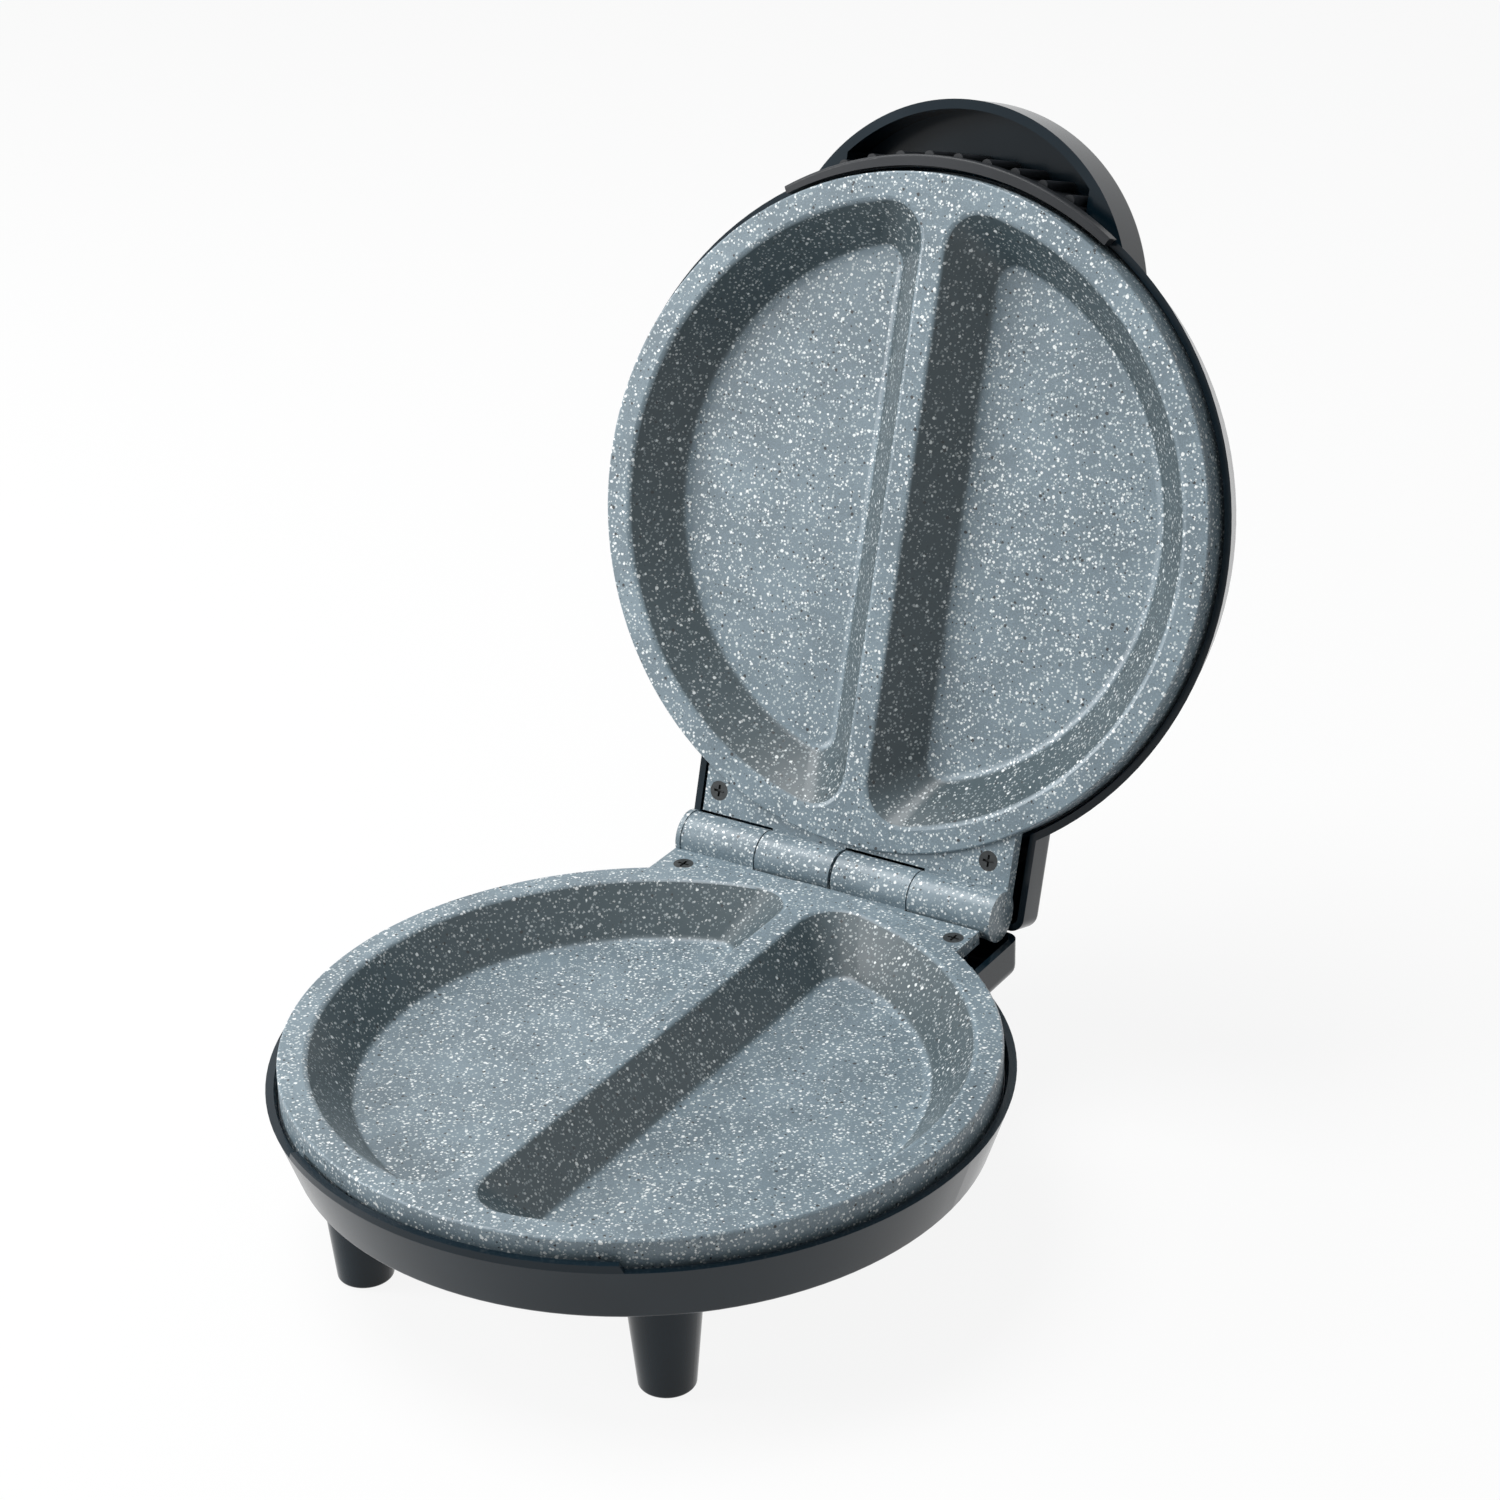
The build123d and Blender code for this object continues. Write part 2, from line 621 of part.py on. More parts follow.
def reflector():
    """Dished sheet below the heater, on the housing's posts."""
    dish = upright(reflector_r, 0, 0, reflector_drop - reflector_flange, post_drop)
    dish = fillet(dish.edges().group_by(Axis.Z)[0], 2 * reflector_sheet)
    dish -= upright(reflector_r - reflector_sheet, 0, 0, 0, reflector_drop)
    notch_half = element_leg_x + tube_r + clip_thick
    dish -= box((-notch_half, notch_half), (0, far), (-reflector_drop, 0))
    for angle in post_angles:
        x, y = on_circle(post_circle_r, angle)
        dish -= upright(small_screw_r + running_clear, x, y, 0, far)
    return dish


def reflector_screws():
    """Screws that hold the reflector down on its posts."""
    places = [on_circle(post_circle_r, angle) for angle in post_angles]
    return group([Pos(x, y, -reflector_drop) * small_screw(post_screw_length) for x, y in places])


def thermostat():
    """Disc thermostat under the plate, in the channel below the divider, with two blades."""
    top_drop = (thermostat_r + shell_growth - divider_half + running_clear) / pocket_tan
    body = upright(thermostat_r, 0, thermostat_y, top_drop, top_drop + thermostat_height)
    return fillet(body.edges().group_by(Axis.Z)[0], thermostat_round)


def thermal_fuse():
    """Thermal cut-out in the live wire."""
    return Pos(0, fuse_y, -wire_drop) * Rot(X=90) * Cylinder(fuse_r, fuse_length)


def terminal_block():
    """Terminal block on the floor of the rear block, with three screw wells."""
    block = box((-terminal_half, terminal_half), (terminal_front_y, terminal_front_y + terminal_depth),
                (-block_floor_drop, -block_floor_drop + terminal_height))
    top = block_floor_drop - terminal_height
    for x in (-element_leg_x, 0, element_leg_x):
        block -= upright(wire_r + running_clear, x, terminal_front_y + terminal_depth / 2, top,
                         top + terminal_well_depth)
    return block


def wire_to_pin(x, points):
    """Wire from a cold pin of the heater, up behind it, and on through more points."""
    pin_y = element_end_y + cold_pin_length
    rise_y = wire_rise_y + wire_r
    rise = [(x, pin_y, -tube_drop), (x, rise_y, -tube_drop), (x, rise_y, -wire_drop)]
    return wire_along(rise + points)


def neutral_wire():
    """Wire from the heater's left pin to the terminal block."""
    return wire_to_pin(-element_leg_x, [(-element_leg_x, terminal_front_y, -wire_drop)])


def heater_wire():
    """Wire from the heater's right pin to the side of the thermostat."""
    channel_x = thermostat_r + 1.5 * wire_bend_r
    points = [(channel_x, element_end_y - 2 * wire_bend_r, -wire_drop),
              (channel_x, thermostat_y, -wire_drop), (thermostat_r + seat_clear, thermostat_y, -wire_drop)]
    return wire_to_pin(element_leg_x, points)


def straight_wire(y_span):
    """Straight wire on the middle line of the channel."""
    return Pos(0, sum(y_span) / 2, -wire_drop) * Rot(X=90) * Cylinder(wire_r, y_span[1] - y_span[0])


def live_wire():
    """Wire from the terminal block to the thermal fuse."""
    return straight_wire((fuse_y + fuse_length / 2, terminal_front_y))


def link_wire():
    """Wire from the thermal fuse to the thermostat."""
    return straight_wire((thermostat_y + thermostat_r + seat_clear, fuse_y - fuse_length / 2))


def earth_wire():
    """Wire from the terminal block up to the underside of the plate."""
    x = element_leg_x / 2
    rise_y = plate_r - skirt_wall - 3 * wire_r
    return wire_along([(x, terminal_front_y, -wire_drop), (x, rise_y, -wire_drop),
                       (x, rise_y, -land_thick - seat_clear)])


def cord_bush():
    """Rubber bush in the cord inlet, closed by a thin skin, as the cord isn't shown."""
    flange = along_y(bush_flange_r, (block_y, block_y + bush_flange_thick))
    flange = fillet(flange.edges().group_by(Axis.Y)[-1], bush_flange_thick / 2)
    bush = flange + along_y(bush_r, (block_y - bush_length, block_y))
    outer_y = block_y + bush_flange_thick
    return bush - along_y(bush_recess_r, (outer_y - bush_recess_depth, outer_y))


# ---------------------------------------------------------------- handle, guard and lamps
def handle_disc(radius, top_drop, bottom_drop):
    """Round slab about the handle's own middle."""
    return upright(radius, 0, handle_centre_y, top_drop, bottom_drop)


def handle():
    """Handle: a segment of a disc outside the lid's wall, hollow below its top."""
    body = handle_disc(handle_r, handle_rim_drop, handle_top_drop)
    body = fillet(body.edges().group_by(Axis.Z)[0], handle_edge_round)
    grip = handle_disc(grip_r, handle_rim_drop, ceiling_drop)
    body -= grip & box((-grip_half, grip_half), (-far, 0), (-far, 0))
    body -= round_body(seat_clear, dome_rise)
    body -= box((-far, far), (handle_centre_y, far), (-far, 0))
    bore_end_y = handle_boss_y - handle_screw_length - side_clear
    for x in (-handle_screw_x, handle_screw_x):
        bore = front_bore(small_screw_r + running_clear, x)
        body -= bore & box((-far, far), (bore_end_y, far), (-far, far))
    return body


def handle_screw(x):
    """Screw from inside the lid's front wall into the handle."""
    return Pos(x, handle_boss_y, -handle_screw_drop) * Rot(X=-90) * small_screw(handle_screw_length)


def finger_guard():
    """Guard between the plates' heat and the fingers: a crescent lip, a back and a row of rods."""
    out_r = rim_r + guard_lip_out
    tip_r = rim_r + guard_tip_out
    tip = math.radians(front_lip_half_angle)
    shift = (out_r ** 2 - tip_r ** 2) / (2 * (out_r - tip_r * math.cos(tip)))
    lip = upright(out_r - shift, 0, -shift, guard_lip_bottom_drop - guard_lip_rise, guard_lip_bottom_drop)
    lip = fillet(lip.edges(), guard_lip_round)
    lip -= upright(rim_r - guard_lip_lap, 0, 0, 0, far)
    lip -= upright(rim_r + seat_clear, 0, 0, rim_drop - seat_clear, far)
    lip &= front_sector(front_lip_half_angle)
    back = upright(rim_r + guard_back_out, 0, 0, guard_root_drop, ceiling_drop)
    back &= box((-grip_half + side_clear, grip_half - side_clear), (-far, 0), (-far, 0))
    back &= handle_disc(grip_r - side_clear, 0, far)
    rod_circle_r = rim_r + rod_out
    step = math.degrees(rod_pitch / rod_circle_r)
    for i in range(rod_count):
        x, y = on_circle(rod_circle_r, -90 + (i - (rod_count - 1) / 2) * step)
        back += upright(rod_r, x, y, guard_root_drop, ceiling_drop)
    return lip + (back - round_body(seat_clear, dome_rise))


def crown_drop(radius):
    """Drop of the lid's domed outside at a radius."""
    crown_r = (belly_r ** 2 + dome_rise ** 2) / (2 * dome_rise)
    return belly_drop + dome_rise - crown_r + math.sqrt(crown_r ** 2 - radius ** 2)


def lamp_lens(x):
    """Lens through the lid's top with a rounded flange."""
    top = crown_drop(math.hypot(lamp_x - lens_flange_r, lamp_y + lens_flange_r))
    lens = upright(lens_flange_r, x, lamp_y, top + seat_clear, top + lens_flange_thick)
    lens = fillet(lens.edges().group_by(Axis.Z)[0], 0.6 * lens_flange_thick)
    return lens + upright(lens_r, x, lamp_y, floor_in_drop + seat_clear, top + lens_flange_thick / 2)


def neon_lamp(x):
    """Neon lamp lying under its lens."""
    return Pos(x, lamp_y - lens_r + lamp_length / 2, -lamp_drop) * Rot(X=90) * Cylinder(lamp_r, lamp_length)


def lamp_bracket():
    """Bar on the inside of the lid's top, with a hole for each lamp."""
    y = lamp_y + lens_flange_r + bracket_thick
    seat_drop = crown_drop(math.hypot(bracket_half, y)) - housing_wall - seat_clear
    bar = box((-bracket_half, bracket_half), (y, y + bracket_thick), (-seat_drop, -post_drop - seat_clear))
    for x in (-lamp_x, lamp_x):
        bar -= Pos(x, y, -lamp_drop) * Rot(X=90) * Cylinder(lamp_r + running_clear, far)
    return bar


def lamp_wire(side):
    """Wire from a heater pin down past the reflector to a lamp."""
    pin_y = element_end_y + cold_pin_length
    x = side * element_leg_x
    lamp_end_y = lamp_y - lens_r + lamp_length
    return wire_along([(x, pin_y, -tube_drop), (x, wire_rise_y, -tube_drop), (x, wire_rise_y, -lamp_drop),
                       (side * lamp_x, pin_y - lamp_wire_run, -lamp_drop),
                       (side * lamp_x, lamp_end_y, -lamp_drop)])


# ---------------------------------------------------------------- assembly
turned = Pos(0, 0, plate_gap) * Rot(Y=180)
swung = Pos(0, hinge_y, hinge_z) * Rot(X=-open_angle) * Pos(0, -hinge_y, -hinge_z)

base = {
    "base_housing": base_housing(),
    "bottom_cover": bottom_cover(),
    "cover_screws": cover_screws(),
    "leg_screws": leg_screws(),
    "lower_plate": cooking_plate(pin_r + press_clear),
    "lower_plate_screw_left": plate_screw(-plate_screw_x),
    "lower_plate_screw_right": plate_screw(plate_screw_x),
    "hinge_pin": along_x(pin_r, (-2 * knuckle_pitch + pin_inset, 2 * knuckle_pitch - pin_inset)),
    "lower_element": element(),
    "lower_element_clips": element_clips(),
    "lower_clip_screws": clip_screws(),
    "lower_reflector": reflector(),
    "lower_reflector_screws": reflector_screws(),
    "lower_thermostat": thermostat(),
    "thermal_fuse": thermal_fuse(),
    "terminal_block": terminal_block(),
    "neutral_wire": neutral_wire(),
    "live_wire": live_wire(),
    "link_wire": link_wire(),
    "heater_wire": heater_wire(),
    "earth_wire": earth_wire(),
    "cord_bush": cord_bush(),
}
for name, (x, y, seat_drop) in zip(("front_left", "front_right", "rear_left", "rear_right"), leg_seats()):
    base[f"leg_{name}"] = leg(x, y, seat_drop)
    base[f"leg_pad_{name}"] = leg_pad(x, y)

# The lid is turned over, so what is drawn on the left here ends up on the right.
lid = {
    "lid_housing": lid_housing(),
    "lid_handle": handle(),
    "handle_screw_left": handle_screw(handle_screw_x),
    "handle_screw_right": handle_screw(-handle_screw_x),
    "finger_guard": finger_guard(),
    "upper_plate": cooking_plate(pin_r + running_clear),
    "upper_plate_screw_left": plate_screw(plate_screw_x),
    "upper_plate_screw_right": plate_screw(-plate_screw_x),
    "upper_element": element(),
    "upper_element_clips": element_clips(),
    "upper_clip_screws": clip_screws(),
    "upper_reflector": reflector(),
    "upper_reflector_screws": reflector_screws(),
    "upper_thermostat": thermostat(),
    "lamp_lens_left": lamp_lens(lamp_x),
    "lamp_lens_right": lamp_lens(-lamp_x),
    "lamp_left": neon_lamp(lamp_x),
    "lamp_right": neon_lamp(-lamp_x),
    "lamp_bracket": lamp_bracket(),
    "lamp_wire_left": lamp_wire(1),
    "lamp_wire_right": lamp_wire(-1),
}

nodes = base | {name: swung * turned * shape for name, shape in lid.items()}

# The origin is the middle of the open cooker's footprint, on the table.
front = min(shape.bounding_box().min.Y for shape in nodes.values())
back = max(shape.bounding_box().max.Y for shape in nodes.values())
to_origin = Pos(0, -(front + back) / 2, foot_drop)

os.makedirs("parts", exist_ok=True)
for name, shape in nodes.items():
    export_step(to_origin * shape, f"parts/{name}.step")

hinge_point = (to_origin * Pos(0, hinge_y, hinge_z)).position
print("hinge line passes through", tuple(round(value, 4) for value in hinge_point))
print("depth", round(back - front, 3), "nodes", len(nodes))
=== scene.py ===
import json
import logging
import math
from dataclasses import dataclass
from enum import Enum

import bmesh
import bpy
from mathutils import Matrix, Vector


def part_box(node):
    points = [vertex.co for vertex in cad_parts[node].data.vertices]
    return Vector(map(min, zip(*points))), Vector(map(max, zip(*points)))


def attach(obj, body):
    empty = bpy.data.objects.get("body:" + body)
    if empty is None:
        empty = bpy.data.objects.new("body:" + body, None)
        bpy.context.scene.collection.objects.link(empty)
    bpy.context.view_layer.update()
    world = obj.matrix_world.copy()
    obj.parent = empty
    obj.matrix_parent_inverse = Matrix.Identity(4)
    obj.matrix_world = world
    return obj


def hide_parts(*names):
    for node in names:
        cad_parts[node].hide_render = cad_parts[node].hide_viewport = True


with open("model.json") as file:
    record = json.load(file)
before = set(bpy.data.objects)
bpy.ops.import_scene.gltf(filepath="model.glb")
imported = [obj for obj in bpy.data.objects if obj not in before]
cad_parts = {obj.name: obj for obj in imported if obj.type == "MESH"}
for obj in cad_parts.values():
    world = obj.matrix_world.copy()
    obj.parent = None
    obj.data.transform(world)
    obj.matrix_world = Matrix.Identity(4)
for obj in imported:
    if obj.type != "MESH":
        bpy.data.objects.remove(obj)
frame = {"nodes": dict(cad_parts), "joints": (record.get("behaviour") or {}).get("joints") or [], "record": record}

# Looks of the open omelette maker: a stone-flecked cast plate in each half, gloss black shells, a
# handle with its finger guard, and the studio. All lengths are in metres unless a name ends in _mm.

log = logging.getLogger("omelette_maker")
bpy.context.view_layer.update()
MM = 0.001
HINGE_Y = frame["joints"][0]["pos_m"][1]
HINGE_Z = frame["joints"][0]["pos_m"][2]
OPEN_ANGLE = math.radians(frame["joints"][0]["range_deg"][1])

# Sockets of a colour Mix node, which have no names of their own.
MIX_FACTOR, MIX_FIRST, MIX_SECOND, MIX_RESULT = 0, 6, 7, 2

Colour = tuple[float, float, float, float]


# ------------------------------------------------------------------ shader arithmetic
class Value:
    """A number that changes over a surface: one shader socket that takes part in arithmetic."""

    def __init__(self, graph: "Graph", socket: bpy.types.NodeSocket) -> None:
        """Wraps a socket.

        Args:
            graph: The graph that the socket's node is in.
            socket: An output socket.
        """
        self.graph = graph
        self.socket = socket

    def __add__(self, other: "Value | float") -> "Value":
        """Sum.

        Args:
            other: What the value is added to.

        Returns:
            The result.
        """
        return self.graph.math("ADD", self, other)

    __radd__ = __add__

    def __mul__(self, other: "Value | float") -> "Value":
        """Product.

        Args:
            other: What the value is multiplied by.

        Returns:
            The result.
        """
        return self.graph.math("MULTIPLY", self, other)

    __rmul__ = __mul__

    def __sub__(self, other: "Value | float") -> "Value":
        """Difference.

        Args:
            other: What the value is lessened by.

        Returns:
            The result.
        """
        return self.graph.math("SUBTRACT", self, other)

    def __rsub__(self, other: "Value | float") -> "Value":
        """Difference, from a number.

        Args:
            other: The number that the value is taken from.

        Returns:
            The result.
        """
        return self.graph.math("SUBTRACT", other, self)

    def step(self, low: float, high: float) -> "Value":
        """Smooth step from 0 below low to 1 above high.

        Args:
            low: Where the step starts.
            high: Where it ends. It may lie below low, and the step then falls.

        Returns:
            The stepped value.
        """
        if low <= high:
            return self.graph.value("ShaderNodeMapRange", {"interpolation_type": "SMOOTHSTEP"},
                                    {0: self, 1: low, 2: high, 3: 0.0, 4: 1.0}, "Result")
        return 1.0 - self.step(high, low)


class Graph:
    """The node tree of one material, built around a Principled BSDF."""

    def __init__(self, name: str) -> None:
        """Starts a material.

        Args:
            name: The material's name.
        """
        self.material = bpy.data.materials.new(name)
        self.material.use_nodes = True
        self.tree = self.material.node_tree
        self.tree.nodes.clear()
        self.output = self.tree.nodes.new("ShaderNodeOutputMaterial")
        self.shader = self.tree.nodes.new("ShaderNodeBsdfPrincipled")
        self.tree.links.new(self.shader.outputs["BSDF"], self.output.inputs["Surface"])

    def node(self, kind: str, settings: dict | None = None, inputs: dict | None = None) -> bpy.types.Node:
        """Adds a node, sets it up and feeds its sockets.

        Args:
            kind: The node's type name.
            settings: Properties, such as an operation, or "stops" for a ramp's positions and colours.
            inputs: What goes into each socket, by its name or number: a Value, a socket or a constant.

        Returns:
            The node.
        """
        made = self.tree.nodes.new(kind)
        for key, setting in (settings or {}).items():
            if key == "stops":
                elements = made.color_ramp.elements
                while len(elements) < len(setting):
                    elements.new(0.5)
                for element, (place, colour) in zip(elements, setting):
                    element.position = place
                    element.color = colour
            else:
                setattr(made, key, setting)
        for key, given in (inputs or {}).items():
            self.feed(made.inputs[key], given)
        return made

    def feed(self, socket: bpy.types.NodeSocket, given: object) -> None:
        """Links or sets one input socket.

        Args:
            socket: The input.
            given: A value or a socket to link, or a constant to set.
        """
        if isinstance(given, Value):
            self.tree.links.new(given.socket, socket)
        elif isinstance(given, bpy.types.NodeSocket):
            self.tree.links.new(given, socket)
        else:
            socket.default_value = given

    def value(self, kind: str, settings: dict | None, inputs: dict, output: str) -> Value:
        """Adds a node and wraps one of its outputs.

        Args:
            kind: The node's type name.
            settings: Its properties.
            inputs: What goes into each socket.
            output: The name of the output.

        Returns:
            The output as a value.
        """
        return Value(self, self.node(kind, settings, inputs).outputs[output])

    def math(self, operation: str, *terms: "Value | float") -> Value:
        """Adds a Math node.

        Args:
            operation: Its operation.
            terms: Its inputs, in order.

        Returns:
            Its result.
        """
        return self.value("ShaderNodeMath", {"operation": operation}, dict(enumerate(terms)), "Value")

    def vector(self, operation: str, inputs: dict) -> bpy.types.NodeSocket:
        """Adds a Vector Math node.

        Args:
            operation: Its operation.
            inputs: What goes into each socket.

        Returns:
            Its vector output.
        """
        return self.node("ShaderNodeVectorMath", {"operation": operation}, inputs).outputs["Vector"]

    def dot(self, vector: bpy.types.NodeSocket, axis: Vector) -> Value:
        """Length of a vector along a fixed axis.

        Args:
            vector: The vector's socket.
            axis: The axis, of length 1.

        Returns:
            The length.
        """
        return self.value("ShaderNodeVectorMath", {"operation": "DOT_PRODUCT"}, {0: vector, 1: axis}, "Value")

    def mix(self, factor: "Value | float", first: object, second: object) -> bpy.types.NodeSocket:
        """Mixes two colours.

        Args:
            factor: Share of the second colour.
            first: Colour or colour socket.
            second: Colour or colour socket.

        Returns:
            The mixed colour's socket.
        """
        mixer = self.node("ShaderNodeMix", {"data_type": "RGBA"})
        for index, given in ((MIX_FACTOR, factor), (MIX_FIRST, first), (MIX_SECOND, second)):
            self.feed(mixer.inputs[index], given)
        return mixer.outputs[MIX_RESULT]

    def millimetres(self) -> bpy.types.NodeSocket:
        """Object coordinates in millimetres.

        Returns:
            Their socket.
        """
        place = self.node("ShaderNodeTexCoord").outputs["Object"]
        return self.vector("SCALE", {0: place, "Scale": 1 / MM})

    def noise(self, place: bpy.types.NodeSocket, per_mm: float, detail: float) -> Value:
        """Noise over the surface.

        Args:
            place: Coordinates in millimetres.
            per_mm: Features in a millimetre.
            detail: Finer layers on top.

        Returns:
            The noise, about 0.5.
        """
        return self.value("ShaderNodeTexNoise", None, {"Vector": place, "Scale": per_mm, "Detail": detail}, "Fac")

    def bump(self, height: Value, depth_mm: float) -> None:
        """Bumps the surface.

        Args:
            height: Height that runs from 0 to 1.
            depth_mm: How deep a height of 1 is.
        """
        bumped = self.node("ShaderNodeBump", None, {"Strength": 1.0, "Distance": depth_mm * MM, "Height": height})
        self.feed(self.shader.inputs["Normal"], bumped.outputs["Normal"])

    def set(self, **sockets: object) -> None:
        """Feeds the shader's sockets.

        Args:
            sockets: What goes into each socket, by its name with underscores for spaces.
        """
        for name, given in sockets.items():
            self.feed(self.shader.inputs[name.replace("_", " ")], given)


def opaque(red: float, green: float, blue: float) -> Colour:
    """Opaque colour.

    Args:
        red: Linear red.
        green: Linear green.
        blue: Linear blue.

    Returns:
        The colour.
    """
    return red, green, blue, 1.0


# ------------------------------------------------------------------ finishes
@dataclass(frozen=True)
class FleckLayer:
    """One size of fleck in the coating: a fleck in some of the cells of an uneven grid.

    A fleck's size runs from least to most, as parts of its cell. The share is the part of the cells
    that hold one, and the shift sets the layers' grids apart.
    """

    cell_mm: float
    least: float
    most: float
    share: float
    shift_mm: float
    soft_edge: float = 0.07
    soft_choice: float = 0.01

    def mask(self, graph: Graph, place: bpy.types.NodeSocket) -> Value:
        """Where the flecks are.

        Args:
            graph: The coating's graph.
            place: Warped coordinates in millimetres.

        Returns:
            1 on a fleck and 0 off it.
        """
        moved = graph.vector("ADD", {0: place, 1: (self.shift_mm, 2 * self.shift_mm, 3 * self.shift_mm)})
        cells = graph.node("ShaderNodeTexVoronoi", {"feature": "F1"},
                           {"Vector": moved, "Scale": 1 / self.cell_mm, "Randomness": 1.0})
        parts = graph.node("ShaderNodeSeparateColor", None, {"Color": cells.outputs["Color"]})
        size = Value(graph, parts.outputs["Red"]) * (self.most - self.least) + self.least
        chosen = Value(graph, parts.outputs["Green"]).step(self.share + self.soft_choice,
                                                              self.share - self.soft_choice)
        edge = (size - Value(graph, cells.outputs["Distance"])).step(0.0, self.soft_edge)
        return edge * chosen


class Spray(Enum):
    """The layers of fleck in the coating."""

    PALE = FleckLayer(cell_mm=0.95, least=0.16, most=0.48, share=0.72, shift_mm=11.0)
    FINE = FleckLayer(cell_mm=1.15, least=0.14, most=0.42, share=0.56, shift_mm=37.0)
    BOLD = FleckLayer(cell_mm=2.3, least=0.12, most=0.28, share=0.45, shift_mm=71.0)
    DARK = FleckLayer(cell_mm=2.3, least=0.10, most=0.26, share=0.34, shift_mm=103.0)
    SPECKS = FleckLayer(cell_mm=1.25, least=0.12, most=0.30, share=0.26, shift_mm=151.0)


@dataclass(frozen=True)
class StoneCoating:
    """Grey-blue non-stick coating with sprayed white and black flecks, thinner on steep walls; the pockets' steep
    walls also carry painted shade, a darker colour mixed in.

    Each loss is the part of a layer of flecks that the pockets' walls go without: partly thinner spray on steep
    walls and partly painted shade, since the missing pale and white flecks darken the walls.
    """

    body: Colour = opaque(0.200, 0.265, 0.306)
    shade: Colour = opaque(0.134, 0.182, 0.213)
    # Painted shade: the dark colour that the pockets' steep walls are mixed towards, standing in for the shade
    # they fall in.
    wall_shade: Colour = opaque(0.026, 0.045, 0.052)
    white: Colour = opaque(0.84, 0.87, 0.87)
    pale: Colour = opaque(0.50, 0.56, 0.58)
    black: Colour = opaque(0.022, 0.027, 0.031)
    # Painted shade: how far the steep walls are mixed towards the painted shade colour.
    wall_shade_share: float = 0.85
    pale_loss: float = 0.6
    fine_loss: float = 0.5
    speck_loss: float = 0.4
    bold_loss: float = 0.15
    warp_per_mm: float = 1.9
    warp_mm: float = 0.62
    cloud_per_mm: float = 0.05
    grain_per_mm: float = 2.4
    flat_facing: float = 0.95
    wall_facing: float = 0.74
    reach_edge_mm: float = 1.0
    roughness: float = 0.34
    rougher_grain: float = 0.16
    coat_weight: float = 0.2
    coat_roughness: float = 0.22
    bump_mm: float = 0.035

    def build(self, name: str, middle: Vector, axis: Vector, reach: float) -> bpy.types.Material:
        """Makes the coating of one plate.

        Args:
            name: The material's name.
            middle: Middle of the plate's face.
            axis: The way that the plate faces.
            reach: Radius that holds its pockets.

        Returns:
            The material.
        """
        graph = Graph(name)
        place = graph.millimetres()
        warp = graph.node("ShaderNodeTexNoise", {"noise_dimensions": "3D"},
                          {"Vector": place, "Scale": self.warp_per_mm, "Detail": 2.0}).outputs["Color"]
        swing = graph.vector("SUBTRACT", {0: warp, 1: (0.5, 0.5, 0.5)})
        warped = graph.vector("ADD", {0: place, 1: graph.vector("SCALE", {0: swing, "Scale": self.warp_mm})})

        facing = graph.dot(graph.node("ShaderNodeTexCoord").outputs["Normal"], axis)
        offset = graph.vector("SUBTRACT", {0: place, 1: middle / MM})
        along = graph.dot(offset, axis)
        across = graph.vector("SUBTRACT", {0: offset, 1: graph.vector("SCALE", {0: tuple(axis), "Scale": along})})
        radius = graph.value("ShaderNodeVectorMath", {"operation": "LENGTH"}, {0: across}, "Value")
        inside = radius.step(reach / MM + self.reach_edge_mm, reach / MM)
        # steep marks the pockets' walls, by how far they turn from the plate's face; it drives the painted shade
        # and the thinner flecks below.
        steep = facing.step(self.flat_facing, self.wall_facing) * inside

        cloud = graph.noise(place, self.cloud_per_mm, 2.0)
        grain = graph.noise(place, self.grain_per_mm, 3.0)
        tone = graph.mix((cloud + grain).step(0.75, 1.25), self.shade, self.body)
        # Painted shade: the steep pocket walls are darkened towards the shade colour.
        tone = graph.mix(steep * self.wall_shade_share, tone, self.wall_shade)
        pale = Spray.PALE.value.mask(graph, warped)
        fine = Spray.FINE.value.mask(graph, warped)
        bold = Spray.BOLD.value.mask(graph, warped)
        dark = Spray.DARK.value.mask(graph, warped)
        specks = Spray.SPECKS.value.mask(graph, warped)
        # Fewer flecks on steep walls: partly thinner spray and partly painted shade, which darkens the walls
        # further.
        tone = graph.mix(pale * (1.0 - steep * self.pale_loss), tone, self.pale)
        tone = graph.mix(fine * (1.0 - steep * self.fine_loss), tone, self.white)
        tone = graph.mix(specks * (1.0 - steep * self.speck_loss), tone, self.black)
        tone = graph.mix(dark, tone, self.black)
        tone = graph.mix(bold * (1.0 - steep * self.bold_loss), tone, self.white)
        graph.set(Base_Color=tone, Roughness=grain * self.rougher_grain + self.roughness, Metallic=0.0,
                  IOR=1.5, Coat_Weight=self.coat_weight, Coat_Roughness=self.coat_roughness)
        graph.bump(grain * 0.6 + fine * 0.4, self.bump_mm)
        return graph.material


